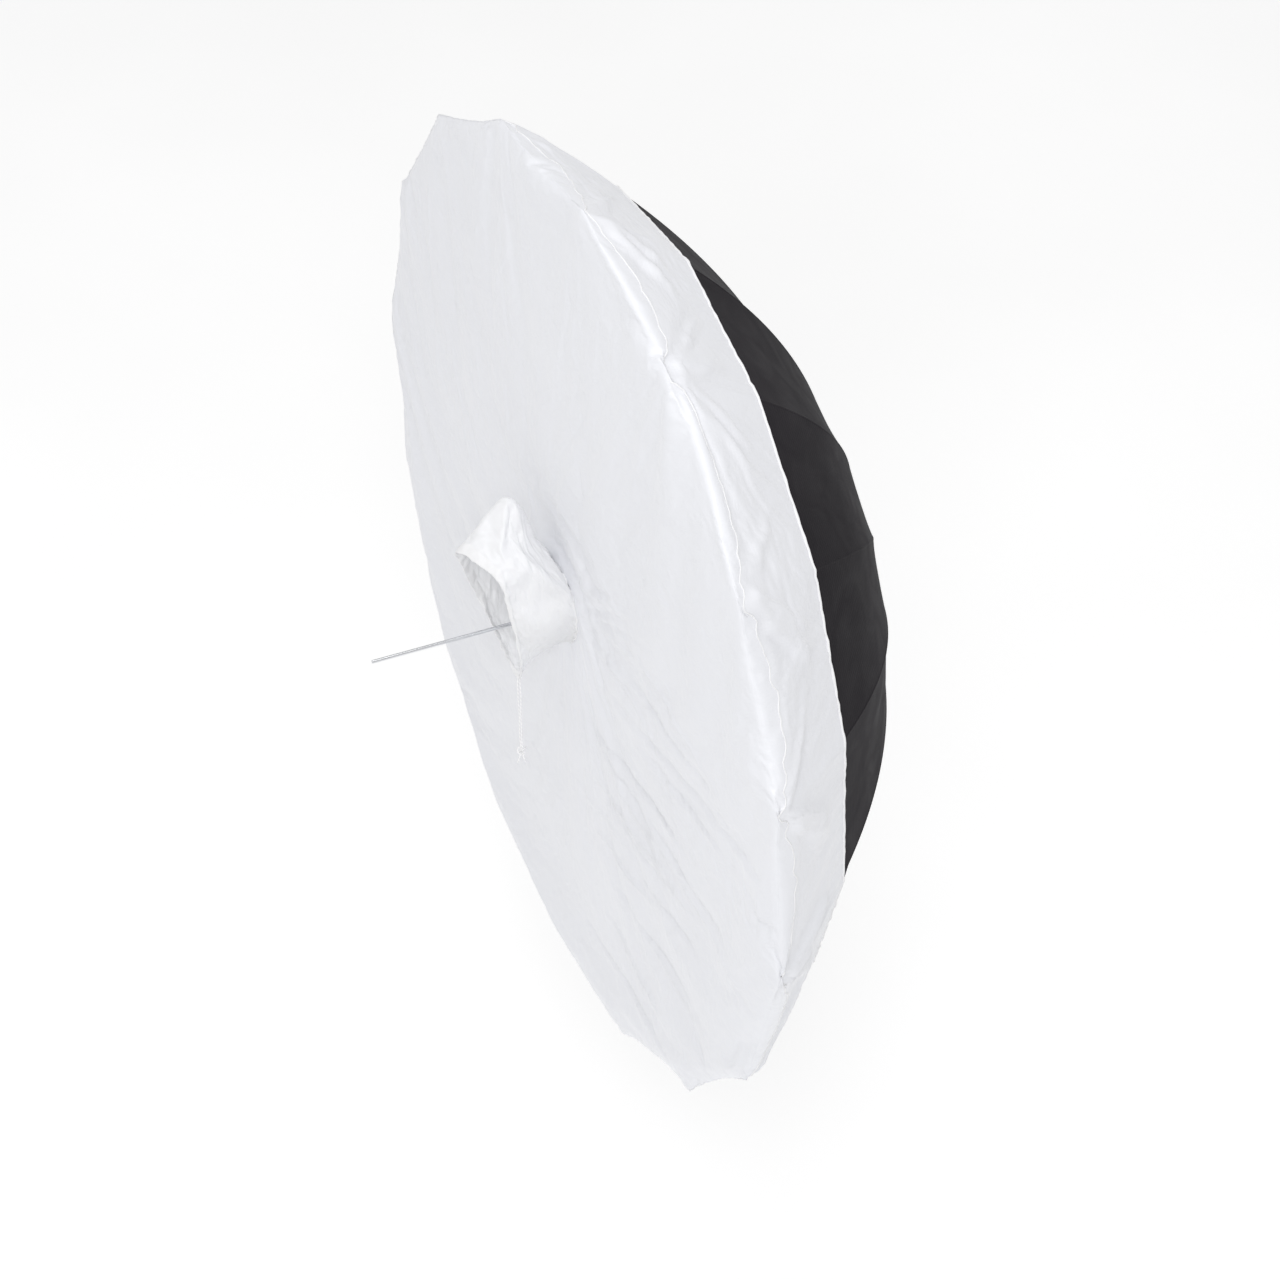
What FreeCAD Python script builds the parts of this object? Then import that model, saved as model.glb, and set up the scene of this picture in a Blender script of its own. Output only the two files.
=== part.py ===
"""Deep sixteen-rib studio umbrella reflector with a removable front diffuser cover.

The shaft lies along Y. The open, diffused side faces -Y, the crown is at +Y and +Z is up.
The origin is the middle of the bare front stretch of the shaft, where a lamp bracket clamps it.
Most sub-parts are drawn in a local frame whose z runs along the shaft, and are then placed.
"""
import FreeCAD, Part
import math
import os
import Sketcher
from FreeCAD import Placement, Rotation, Vector

RIBS = 16
HALF_GORE = 180.0 / RIBS  # degrees from a rib to the middle of the fabric beside it

doc = FreeCAD.newDocument("umbrella_reflector")

# ---------------------------------------------------------------- driving dimensions (mm)

DRIVING = {
    "canopy_radius": 1060,  # at the rim, on a rib
    "canopy_depth": 616,  # rim plane to apex
    "profile_power": 2.317,  # the meridian is depth * (1 - (r / radius) ** power)
    "canopy_skin": 0.8,
    "canopy_hole": 29,  # open centre of the fabric, under the cap
    "rib_inset": 5.0,  # rib centre line below the outer face of the fabric
    "rib_radius": 2.0,
    "rib_start": 34,
    "tip_cap_radius": 3.4,
    "pivot_circle": 18,  # radius of the circle of rib pivots, and of stretcher pivots
    "bracket_at": 430,  # radius at which the stretcher bracket sits on the rib
    "bracket_drop": 7.0,  # rib centre line to the stretcher pin
    "tongue_width": 2.4,
    "slot_width": 3.0,
    "stretcher_radius": 1.5,
    "fold_angle": 59,
    "shaft_radius": 4.0,
    "shaft_bore": 3.0,
    "shaft_front": 437,  # front end of the shaft ahead of the rim plane
    "shaft_chamfer": 0.6,
    "clamp_length": 220,  # bare cylinder between the front chamfer and the stop groove
    "groove_width": 1.5,
    "groove_radius": 3.6,
    "crown_hub": 11,
    "crown_flange": 26,
    "crown_slot_floor": 14,
    "runner_bore": 4.15,
    "runner_barrel": 11,
    "runner_collar": 13.5,
    "runner_flange": 25,
    "runner_slot_floor": 13.5,
    "wire_radius": 0.75,
    "cap_radius": 34,
    "cap_stem": 22,
    "cover_gap": 4.0,  # between the fabric of the canopy and the diffuser over it
    "cover_skin": 1.2,
    "cover_front": 8.0,  # front face of the diffuser ahead of the rim plane
    "sleeve_base": 125,
    "sleeve_mouth": 189,
    "sleeve_length": 215,
    "sleeve_skin": 1.5,
    "cord_radius": 1.75,
    "knot_radius": 11,
    "first_rib_angle": 15.9,  # from +X towards +Z
}

sheet = doc.addObject("Spreadsheet::Sheet", "Sizes")


def add_cells(sizes, first_row):
    """Writes one plain number to a row of the sheet, with its name beside it as the alias."""
    for row, (alias, value) in enumerate(sizes.items(), first_row):
        sheet.set(f"A{row}", alias)
        sheet.set(f"B{row}", repr(value))
        sheet.setAlias(f"B{row}", alias)
    doc.recompute()


add_cells(DRIVING, 1)


def size(alias):
    """A number from the sheet; None stands for a point on the axis."""
    return float(sheet.get(alias)) if alias else 0.0


# ---------------------------------------------------------------- meridian and linkage


def on_canopy(radius, inward=0.0):
    """The point (r, s) on the meridian at this radius, moved along the inward normal.

    s is the distance behind the rim plane.
    """
    share = radius / size("canopy_radius")
    power = size("profile_power")
    s = size("canopy_depth") * (1 - share**power)
    slope = -size("canopy_depth") * power / size("canopy_radius") * share ** (power - 1)
    length = math.hypot(1, slope)
    return radius + inward * slope / length, s - inward / length


def direction_at(radius):
    """Unit vector (r, s) along the meridian, towards the rim."""
    share = radius / size("canopy_radius")
    power = size("profile_power")
    slope = -size("canopy_depth") * power / size("canopy_radius") * share ** (power - 1)
    length = math.hypot(1, slope)
    return 1 / length, slope / length


crown_s = size("canopy_depth") - size("rib_inset")
pin_r, pin_s = on_canopy(size("bracket_at"), size("rib_inset") + size("bracket_drop"))
runner_s = 2 * pin_s - crown_s  # the stretcher mirrors the line from crown pivot to bracket
chord = math.hypot(pin_r - size("pivot_circle"), crown_s - pin_s)
open_angle = math.atan2(pin_r - size("pivot_circle"), crown_s - pin_s)
folded_angle = open_angle - math.radians(size("fold_angle"))
runner_travel = 2 * chord * (math.cos(folded_angle) - math.cos(open_angle))
rim_y = size("shaft_front") - size("shaft_chamfer") - size("clamp_length") / 2

add_cells(
    {
        "shaft_length": round(size("shaft_front") + crown_s + 1, 3),
        "shaft_chamfer_radius": size("shaft_radius") - size("shaft_chamfer"),
        "shaft_nose": 3.0,
        "groove_from": size("shaft_chamfer") + size("clamp_length"),
        "groove_to": size("shaft_chamfer") + size("clamp_length") + size("groove_width"),
        "crown_bore_depth": 25.0,
        "crown_flange_from": 20.0,
        "crown_pivot_height": 24.0,
        "crown_height": 27.2,
        "wire_groove_in": size("pivot_circle") - size("wire_radius") - 0.05,
        "wire_groove_out": size("pivot_circle") + size("wire_radius") + 0.05,
        "wire_groove_from": 24.0 - size("wire_radius") - 0.05,
        "slot_half": size("slot_width") / 2,
        "slot_end": 30.0,
        "runner_collar_height": 5.0,
        "runner_flange_from": 33.0,
        "runner_pivot_height": 36.0,
        "runner_height": 39.0,
        "cap_stem_height": 2.0,
        "cap_edge_height": 4.5,
        "cap_shoulder": 24.0,
        "cap_height": 13.0,
        "catch_strip_low": 1.2,
        "catch_strip_high": 1.8,
        "catch_ramp_from": 17.0,
        "catch_ramp_to": 23.0,
        "catch_length": 26.0,
        "catch_top": 6.5,
        "catch_width": 2.4,
        "window_from": 15.0,
        "window_to": 27.0,
    },
    60,
)

# local z towards the crown, measured from the rim plane
SHAFT_FRAME = Placement(Vector(0, rim_y, 0), Rotation(Vector(1, 0, 0), -90))
# local z towards the front, measured from the front face of the diffuser
FRONT_FRAME = Placement(
    Vector(0, rim_y - size("cover_front"), 0), Rotation(Vector(1, 0, 0), 90)
)


def along_shaft(s):
    """A frame on the shaft axis at s behind the rim plane."""
    return SHAFT_FRAME * Placement(Vector(0, 0, s), Rotation())


def at_rib(number, s=0):
    """The frame of a rib at s behind the rim plane: local x is radial, z is along the shaft."""
    angle = size("first_rib_angle") + 2 * HALF_GORE * (number - 1)
    return along_shaft(s) * Placement(Vector(), Rotation(Vector(0, 0, 1), -angle))


# ---------------------------------------------------------------- drawing helpers


def new_body(label, placement):
    body = doc.addObject("PartDesign::Body", label)
    body.Label = label
    body.Placement = placement
    return body


def plane_of(body, role):
    return next(f for f in body.Origin.OriginFeatures if f.Role == role)


def outline(body, name, role, corners):
    """A closed outline on one of the body's planes, each corner held by cells of the sheet.

    A corner is a pair of aliases. None is on the axis, and a leading minus turns the cell's sign.
    """
    sketch = body.newObject("Sketcher::SketchObject", name)
    sketch.AttachmentSupport = [(plane_of(body, role), "")]
    sketch.MapMode = "FlatFace"

    def value(alias):
        return -size(alias[1:]) if alias and alias[0] == "-" else size(alias)

    points = [Vector(value(x), value(y), 0) for x, y in corners]
    for start, end in zip(points, points[1:] + points[:1]):
        sketch.addGeometry(Part.LineSegment(start, end), False)
    count = len(corners)
    for i in range(count):
        sketch.addConstraint(Sketcher.Constraint("Coincident", i, 2, (i + 1) % count, 1))
    for i, pair in enumerate(corners):
        for kind, alias, axis in (("DistanceX", pair[0], -2), ("DistanceY", pair[1], -1)):
            if alias is None:
                sketch.addConstraint(Sketcher.Constraint("PointOnObject", i, 1, axis))
                continue
            index = sketch.addConstraint(
                Sketcher.Constraint(kind, -1, 1, i, 1, value(alias))
            )
            sign = "-" if alias[0] == "-" else ""
            sketch.setExpression(f"Constraints[{index}]", f"{sign}Sizes.{alias.strip('-')}")
    return sketch


def turned(body, name, corners):
    """A solid of revolution about the body's z, from an outline in its XZ plane."""
    sketch = outline(body, f"{name}_outline", "XZ_Plane", corners)
    feature = body.newObject("PartDesign::Revolution", name)
    feature.Profile = sketch
    feature.ReferenceAxis = (sketch, ["V_Axis"])
    feature.Angle = 360
    sketch.Visibility = False
    doc.recompute()
    return feature


def turned_groove(body, name, corners):
    sketch = outline(body, f"{name}_outline", "XZ_Plane", corners)
    feature = body.newObject("PartDesign::Groove", name)
    feature.Profile = sketch
    feature.ReferenceAxis = (sketch, ["V_Axis"])
    feature.Angle = 360
    doc.recompute()
    return feature


def must_shrink(body, before, what):
    """A cut that faces away from the solid removes nothing and reports no error."""
    doc.recompute()
    after = body.Shape.Volume
    if not after < before - 1:
        raise RuntimeError(f"{what} cut nothing: {before:.1f} to {after:.1f}")
    return after


def radial_slots(body, name, floor):
    """Sixteen slots right through a flange, one in line with each rib."""
    before = body.Shape.Volume
    sketch = outline(
        body,
        f"{name}_outline",
        "XY_Plane",
        [(floor, "-slot_half"), ("slot_end", "-slot_half"), ("slot_end", "slot_half"), (floor, "slot_half")],
    )
    pocket = body.newObject("PartDesign::Pocket", name)
    pocket.Profile = sketch
    pocket.Type = "ThroughAll"
    pocket.Reversed = True
    before = must_shrink(body, before, name)
    pattern = body.newObject("PartDesign::PolarPattern", f"{name}_pattern")
    pattern.Originals = [pocket]
    pattern.Axis = (plane_of(body, "Z_Axis"), [""])
    pattern.Angle = 360
    pattern.Occurrences = RIBS
    body.Tip = pattern
    must_shrink(body, before, f"{name} pattern")


SUB_PARTS = []


def keep(obj, label=None, placement=None):
    """Marks an object as a sub-part, with its own label and place."""
    if label:
        obj.Label = label
    if placement is not None:
        obj.Placement = placement
    SUB_PARTS.append(obj)
    return obj


def keep_shape(label, shape, placement):
    """A sub-part made with Part's functions, for the pieces that repeat round the shaft."""
    feature = doc.addObject("Part::Feature", label)
    feature.Shape = shape
    return keep(feature, label, placement)


# ---------------------------------------------------------------- shaft and its catch


def make_shaft():
    body = new_body("shaft", along_shaft(-size("shaft_front")))
    turned(
        body,
        "tube",
        [
            (None, None),
            ("shaft_chamfer_radius", None),
            ("shaft_radius", "shaft_chamfer"),
            ("shaft_radius", "groove_from"),
            ("groove_radius", "groove_from"),
            ("groove_radius", "groove_to"),
            ("shaft_radius", "groove_to"),
            ("shaft_radius", "shaft_length"),
            ("shaft_bore", "shaft_length"),
            ("shaft_bore", "shaft_nose"),
            (None, "shaft_nose"),
        ],
    )
    before = body.Shape.Volume
    window = outline(
        body,
        "catch_window_outline",
        "YZ_Plane",
        [
            ("-slot_half", "catch_window_from"),
            ("slot_half", "catch_window_from"),
            ("slot_half", "catch_window_to"),
            ("-slot_half", "catch_window_to"),
        ],
    )
    pocket = body.newObject("PartDesign::Pocket", "catch_window")
    pocket.Profile = window
    pocket.Type = "ThroughAll"
    pocket.Reversed = True
    must_shrink(body, before, "catch window")
    keep(body)


def make_catch():
    """A bent spring strip inside the shaft, whose nose stands out in front of the runner."""
    body = new_body("shaft_catch", along_shaft(catch_s))
    sketch = outline(
        body,
        "strip_outline",
        "XZ_Plane",
        [
            ("catch_strip_low", None),
            ("catch_strip_low", "catch_length"),
            ("catch_top", "catch_length"),
            ("catch_top", "catch_ramp_to"),
            ("catch_strip_high", "catch_ramp_from"),
            ("catch_strip_high", None),
        ],
    )
    pad = body.newObject("PartDesign::Pad", "strip")
    pad.Profile = sketch
    pad.Midplane = True
    pad.setExpression("Length", "Sizes.catch_width")
    doc.recompute()
    keep(body)


# ---------------------------------------------------------------- crown, wire, cap, runner


def make_crown():
    body = new_body("crown", at_rib(1, crown_s - size("crown_pivot_height")))
    turned(
        body,
        "turning",
        [
            ("shaft_radius", None),
            ("crown_hub", None),
            ("crown_hub", "crown_flange_from"),
            ("crown_flange", "crown_flange_from"),
            ("crown_flange", "crown_height"),
            (None, "crown_height"),
            (None, "crown_bore_depth"),
            ("shaft_radius", "crown_bore_depth"),
        ],
    )
    before = body.Shape.Volume
    turned_groove(
        body,
        "wire_groove",
        [
            ("wire_groove_in", "wire_groove_from"),
            ("wire_groove_out", "wire_groove_from"),
            ("wire_groove_out", "crown_height"),
            ("wire_groove_in", "crown_height"),
        ],
    )
    must_shrink(body, before, "wire groove")
    radial_slots(body, "rib_slot", "crown_slot_floor")
    keep(body)


def make_crown_wire():
    """The ring of wire that all sixteen rib eyes turn on."""
    ring = doc.addObject("Part::Torus", "crown_wire")
    ring.setExpression("Radius1", "Sizes.pivot_circle")
    ring.setExpression("Radius2", "Sizes.wire_radius")
    keep(ring, "crown_wire", along_shaft(crown_s))


def make_crown_cap():
    rear_face = crown_s + size("crown_height") - size("crown_pivot_height")
    body = new_body("crown_cap", along_shaft(rear_face))
    dome = turned(
        body,
        "dome",
        [
            (None, None),
            ("cap_stem", None),
            ("cap_stem", "cap_stem_height"),
            ("cap_radius", "cap_stem_height"),
            ("cap_radius", "cap_edge_height"),
            ("cap_shoulder", "cap_height"),
            (None, "cap_height"),
        ],
    )
    rim_edges = []
    for index, edge in enumerate(dome.Shape.Edges, 1):
        box = edge.BoundBox
        if box.ZLength < 1e-6 and abs(box.ZMax - size("cap_height")) < 1e-6:
            rim_edges.append(f"Edge{index}")
    fillet = body.newObject("PartDesign::Fillet", "soft_edge")
    fillet.Base = (dome, rim_edges)
    fillet.Radius = 3
    doc.recompute()
    keep(body)


def make_runner():
    body = new_body("runner", at_rib(1, runner_s - size("runner_pivot_height")))
    turned(
        body,
        "turning",
        [
            ("runner_bore", None),
            ("runner_collar", None),
            ("runner_collar", "runner_collar_height"),
            ("runner_barrel", "runner_collar_height"),
            ("runner_barrel", "runner_flange_from"),
            ("runner_flange", "runner_flange_from"),
            ("runner_flange", "runner_height"),
            ("runner_bore", "runner_height"),
        ],
    )
    radial_slots(body, "stretcher_slot", "runner_slot_floor")
    keep(body)


# ---------------------------------------------------------------- ribs and stretchers


def in_plane(r, s):
    """A point of the rib's own plane."""
    return Vector(r, 0, s)


def arc_from(start, heading, end):
    """The arc that leaves start along heading and reaches end."""
    chord_line = end - start
    angle = math.atan2(
        heading.x * chord_line.z - heading.z * chord_line.x, heading.dot(chord_line)
    )
    normal = Vector(-chord_line.z, 0, chord_line.x)
    middle = start + chord_line * 0.5 - normal * (0.5 * math.tan(angle / 2))
    return Part.Arc(start, middle, end).toShape()


def rib_path(radii):
    """Pairs of tangent arcs through the meridian at these radii."""
    edges = []
    for near, far in zip(radii, radii[1:]):
        a = in_plane(*on_canopy(near, size("rib_inset")))
        b = in_plane(*on_canopy(far, size("rib_inset")))
        leave = in_plane(*direction_at(near))
        arrive = in_plane(*direction_at(far))
        both = leave + arrive
        across = b - a
        flat = 2 * (1 - leave.dot(arrive))
        reach = (
            math.sqrt(across.dot(both) ** 2 + flat * across.dot(across)) - across.dot(both)
        ) / flat
        joint = (a + b + (leave - arrive) * reach) * 0.5
        edges.append(arc_from(a, leave, joint))
        back = arc_from(b, arrive * -1, joint)
        edges.append(back)
    return Part.Wire(Part.__sortEdges__(edges))


def rod_along(wire, start, heading, radius):
    circle = Part.Wire(Part.makeCircle(radius, start, heading))
    return wire.makePipeShell([circle], True, False)


def plate(centre, thickness, radius):
    """A round plate in the rib's plane."""
    base = Vector(centre.x, -thickness / 2, centre.z)
    return Part.makeCylinder(radius, thickness, base, Vector(0, 1, 0))


def strip(start, end, width, thickness):
    """A flat bar of the rib's plane between two points, centred on the plane."""
    along = end - start
    side = Vector(-along.z, 0, along.x).normalize() * (width / 2)
    corners = [start + side, end + side, end - side, start - side]
    face = Part.Face(Part.makePolygon([c - Vector(0, thickness / 2, 0) for c in corners + corners[:1]]))
    return face.extrude(Vector(0, thickness, 0))


def make_rib():
    """Rod, root eye, stretcher bracket with its rivet, and tip cap, as separate solids."""
    inset = size("rib_inset")
    start = in_plane(*on_canopy(size("rib_start"), inset))
    heading = in_plane(*direction_at(size("rib_start")))
    path = rib_path([size("rib_start"), 240, 480, 760, size("canopy_radius")])
    rod = rod_along(path, start, heading, size("rib_radius"))

    pivot = in_plane(size("pivot_circle"), crown_s)
    eye_hole = size("wire_radius") + 0.25
    root = strip(pivot, start, 5.0, size("tongue_width"))
    root = root.fuse(plate(pivot, size("tongue_width"), 3.0))
    root = root.fuse(Part.makeCylinder(3.2, 18, start - heading * 4, heading))
    root = root.cut(Part.makeCylinder(eye_hole, 6, pivot - Vector(0, 3, 0), Vector(0, 1, 0)))
    root = root.cut(rod).removeSplitter()

    seat = in_plane(*on_canopy(size("bracket_at"), inset))
    along = in_plane(*direction_at(size("bracket_at")))
    pin = in_plane(pin_r, pin_s)
    ear_gap = size("tongue_width") + 0.4
    ear = 1.3
    bracket = Part.makeCylinder(3.6, 16, seat - along * 8, along)
    cheeks = strip(seat, pin, 6.4, ear_gap + 2 * ear).fuse(plate(pin, ear_gap + 2 * ear, 3.2))
    gap = strip(seat + (pin - seat) * 0.56, pin + (pin - seat), 12, ear_gap)
    gap = gap.fuse(plate(pin, ear_gap, 4.0))
    bracket = bracket.fuse(cheeks).cut(gap)
    rivet_from = Vector(pin.x, -(ear_gap / 2 + ear), pin.z)
    rivet = Part.makeCylinder(1.0, ear_gap + 2 * ear, rivet_from, Vector(0, 1, 0))
    bracket = bracket.cut(rivet).cut(rod).removeSplitter()
    head = Part.makeCylinder(1.8, 0.7, rivet_from - Vector(0, 0.7, 0), Vector(0, 1, 0))
    other = Part.makeCylinder(1.8, 0.7, rivet_from + Vector(0, ear_gap + 2 * ear, 0), Vector(0, 1, 0))
    rivet = rivet.fuse(head).fuse(other).removeSplitter()

    end = in_plane(*on_canopy(size("canopy_radius"), inset))
    out = in_plane(*direction_at(size("canopy_radius")))
    cap = Part.makeCylinder(size("tip_cap_radius"), 12, end - out * 10, out)
    cap = cap.makeFillet(1.2, [e for e in cap.Edges if abs((e.CenterOfMass - end - out * 2).Length) < 0.5])
    cap = cap.cut(rod).removeSplitter()
    return Part.makeCompound([rod, root, bracket, rivet, cap])


def make_stretcher():
    """A wire strut with both ends flattened and drilled."""
    upper = in_plane(pin_r, pin_s)
    lower = in_plane(size("pivot_circle"), runner_s)
    along = (upper - lower).normalize()
    tongue = 26
    width = size("tongue_width")
    rod_length = (upper - lower).Length - 2 * tongue + 4
    body = Part.makeCylinder(size("stretcher_radius"), rod_length, lower + along * (tongue - 2), along)
    for eye, towards in ((lower, along), (upper, along * -1)):
        body = body.fuse(strip(eye, eye + towards * tongue, 4.0, width))
        body = body.fuse(plate(eye, width, 2.6))
    for eye in (lower, upper):
        body = body.cut(Part.makeCylinder(1.15, 6, eye - Vector(0, 3, 0), Vector(0, 1, 0)))
    return body.removeSplitter()


# ---------------------------------------------------------------- canopy


def face_of(*corners):
    return Part.Face(Part.makePolygon(list(corners) + [corners[0]]))


def thin_solid(outer, inner):
    """The solid between two strips of points, each a list of (one side, other side) rows."""
    faces = []
    for strip_rows in (outer, inner):
        for (a, b), (next_a, next_b) in zip(strip_rows, strip_rows[1:]):
            faces.append(face_of(a, next_a, next_b, b))
    for side in (0, 1):
        for i in range(len(outer) - 1):
            corners = (outer[i][side], outer[i + 1][side], inner[i + 1][side], inner[i][side])
            faces.append(face_of(*corners))
    for i in (0, -1):
        faces.append(face_of(outer[i][0], outer[i][1], inner[i][1], inner[i][0]))
    solid = Part.makeSolid(Part.makeShell(faces))
    if solid.Volume < 0:
        solid.reverse()
    return solid


def gore_point(side, station):
    """On the rib (side 0) or just short of the middle of the fabric beside it (side -1 or 1)."""
    r, s = station
    if side == 0:
        return Vector(r, 0, s)
    half = math.radians(HALF_GORE)
    reach = r * math.sin(half) - 0.2
    return Vector(r - reach * math.sin(half), side * reach * math.cos(half), s)


def make_gore():
    """The fabric over one rib, out to the middle of the panel on each side, flat between ribs.

    It is sewn along the rib, and each side is three lengths of cloth: crown, middle and rim.
    """
    lengths = [
        [size("canopy_hole"), 120, 215, 310, 400],
        [400, 455, 520, 595, 670, 740],
        [740, 800, 860, 915, 965, 1010, 1052],
    ]
    pieces = []
    for side in (-1, 1):
        for radii in lengths:
            skins = []
            for depth in (0.0, size("canopy_skin")):
                stations = [on_canopy(r, depth) for r in radii]
                skins.append([(gore_point(0, st), gore_point(side, st)) for st in stations])
            pieces.append(thin_solid(*skins))
    return Part.makeCompound(pieces)


# ---------------------------------------------------------------- diffuser cover


def make_cover_front():
    panel = doc.addObject("Part::Prism", "front_panel")
    panel.Polygon = RIBS
    panel.setExpression("Circumradius", "Sizes.canopy_radius + Sizes.cover_gap + 2")
    panel.setExpression("Height", "Sizes.cover_skin")
    hole = doc.addObject("Part::Cylinder", "front_hole")
    hole.setExpression("Radius", "Sizes.sleeve_base - Sizes.sleeve_skin")
    hole.setExpression("Height", "Sizes.cover_skin")
    front = doc.addObject("Part::Cut", "diffuser_front")
    front.Base = panel
    front.Tool = hole
    keep(front, "diffuser_front", at_rib(1) * Placement(Vector(0, 0, -size("cover_front")), Rotation()))


BAND_END = 875  # canopy radius at the cover's hem


def make_cover_band():
    """The side of the cover, from the front panel back over the edge of the canopy: sixteen flat facets."""
    back_face = -size("cover_front") + size("cover_skin")
    corner = size("canopy_radius") + size("cover_gap") + 2
    radii = [size("canopy_radius"), 1020, 975, 925, BAND_END]
    outer = [(corner, back_face)]
    inner = [(corner - size("cover_skin"), back_face)]
    outer += [on_canopy(r, -size("cover_gap") - size("cover_skin")) for r in radii]
    inner += [on_canopy(r, -size("cover_gap")) for r in radii]
    half = math.radians(HALF_GORE)
    facets = []
    for number in range(RIBS):
        middle = half * (2 * number + 1)
        sides = (middle - half, middle + half)
        skins = []
        for stations in (outer, inner):
            rows = []
            for r, s in stations:
                rows.append(tuple(Vector(r * math.cos(a), r * math.sin(a), s) for a in sides))
            skins.append(rows)
        facets.append(thin_solid(*skins))
    keep_shape("diffuser_band", Part.makeCompound(facets), at_rib(1))


def make_sleeve():
    """The central sock: a flared tube, longer on top, cut off on a slant at its mouth."""
    add_cells(
        {
            "sleeve_base_inside": size("sleeve_base") - size("sleeve_skin"),
            "sleeve_mouth_inside": size("sleeve_mouth") - size("sleeve_skin"),
            "mouth_low": 97.0,
            "mouth_high": 226.0,
            "mouth_side": 200.0,
            "mouth_far": 300.0,
        },
        100,
    )
    body = new_body("diffuser_sleeve", FRONT_FRAME)
    turned(
        body,
        "sock",
        [
            ("sleeve_base_inside", None),
            ("sleeve_base", None),
            ("sleeve_mouth", "sleeve_length"),
            ("sleeve_mouth_inside", "sleeve_length"),
        ],
    )
    before = body.Shape.Volume
    sketch = outline(
        body,
        "mouth_outline",
        "YZ_Plane",
        [
            ("-mouth_side", "mouth_low"),
            ("mouth_side", "mouth_high"),
            ("mouth_side", "mouth_far"),
            ("-mouth_side", "mouth_far"),
        ],
    )
    pocket = body.newObject("PartDesign::Pocket", "mouth")
    pocket.Profile = sketch
    pocket.Type = "ThroughAll"
    pocket.Midplane = True
    must_shrink(body, before, "sleeve mouth")
    keep(body)


# ---------------------------------------------------------------- drawstring

# the strands hang from the lowest point of the sleeve's mouth, each point turning the route a little
STRANDS = {
    "drawstring_a": [
        (-4.0, 212.0, -155.6),
        (-5.6, 211.0, -205.0),
        (-4.2, 212.8, -256.0),
        (-5.0, 212.0, -308.0),
        (-3.2, 212.6, -358.0),
    ],
    "drawstring_b": [
        (4.0, 213.0, -155.6),
        (6.2, 214.2, -204.0),
        (4.6, 212.6, -255.0),
        (5.2, 213.8, -307.0),
        (3.2, 213.4, -358.0),
    ],
}
KNOT = Vector(0, 213.0, -367.0)


def make_strand(name, route):
    """A tube of straight runs joined by tangent arcs, as large as the runs allow."""
    points = [Vector(*p) for p in route]
    edges = []
    at = points[0]
    smallest = None
    for before, corner, after in zip(points, points[1:], points[2:]):
        back = (before - corner).normalize()
        ahead = (after - corner).normalize()
        half_turn = (math.pi - back.getAngle(ahead)) / 2
        shorter = min((before - corner).Length, (after - corner).Length)
        trim = 0.45 * shorter
        radius = trim / math.tan(half_turn)
        smallest = radius if smallest is None else min(smallest, radius)
        into = corner + back * trim
        out_of = corner + ahead * trim
        inward = (back + ahead).normalize()
        middle = corner + inward * (radius / math.cos(half_turn) - radius)
        edges.append(Part.LineSegment(at, into).toShape())
        edges.append(Part.Arc(into, middle, out_of).toShape())
        at = out_of
    edges.append(Part.LineSegment(at, points[-1]).toShape())
    path = Part.Wire(edges)
    heading = points[1] - points[0]
    tube = rod_along(path, points[0], heading, size("cord_radius"))
    expected = math.pi * size("cord_radius") ** 2 * path.Length
    print(
        f"{name}: length {path.Length:.1f} mm, smallest radius {smallest:.0f} mm,"
        f" volume {tube.Volume:.0f} of {expected:.0f} mm3"
    )
    keep_shape(name, tube, Placement())


def make_knot():
    ball = doc.addObject("Part::Ellipsoid", "knot_ball")
    ball.setExpression("Radius1", "Sizes.knot_radius")
    ball.setExpression("Radius2", "Sizes.knot_radius")
    ball.setExpression("Radius3", "Sizes.knot_radius")
    tails = []
    for side in (-1, 1):
        tail = doc.addObject("Part::Cylinder", f"knot_tail_{side + 2}")
        tail.setExpression("Radius", "Sizes.cord_radius")
        tail.Height = 24
        tail.Placement = Placement(Vector(side * 3.0, 0, -28), Rotation(Vector(0, 1, 0), side * 5))
        tails.append(tail)
    knot = doc.addObject("Part::MultiFuse", "drawstring_knot")
    knot.Shapes = [ball] + tails
    keep(knot, "drawstring_knot", Placement(KNOT, Rotation()))


# ---------------------------------------------------------------- assembly

catch_s = runner_s - size("runner_pivot_height") - 0.4 - size("catch_length")
add_cells(
    {
        "catch_window_from": round(size("shaft_front") + catch_s + size("window_from"), 3),
        "catch_window_to": round(size("shaft_front") + catch_s + size("window_to"), 3),
    },
    95,
)

make_shaft()
make_catch()
make_crown()
make_crown_wire()
make_crown_cap()
make_runner()
rib_shape = make_rib()
stretcher_shape = make_stretcher()
gore_shape = make_gore()
for number in range(1, RIBS + 1):
    keep_shape(f"rib_{number:02d}", rib_shape.copy(), at_rib(number))
    keep_shape(f"stretcher_{number:02d}", stretcher_shape.copy(), at_rib(number))
    keep_shape(f"canopy_gore_{number:02d}", gore_shape.copy(), at_rib(number))
make_cover_front()
make_cover_band()
make_sleeve()
for strand_name, strand_route in STRANDS.items():
    make_strand(strand_name, strand_route)
make_knot()
doc.recompute()

# ---------------------------------------------------------------- checks and export

failed = [o.Name for o in doc.Objects if {"Invalid", "Error"} & set(o.State)]
if failed:
    raise RuntimeError(f"these objects failed: {failed}")
for part in SUB_PARTS:
    if part.Shape.isNull() or not part.Shape.isValid():
        raise RuntimeError(f"{part.Label} has no valid shape")

os.makedirs("parts", exist_ok=True)
for part in SUB_PARTS:
    part.Shape.exportStep(f"parts/{part.Label}.step")

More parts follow.
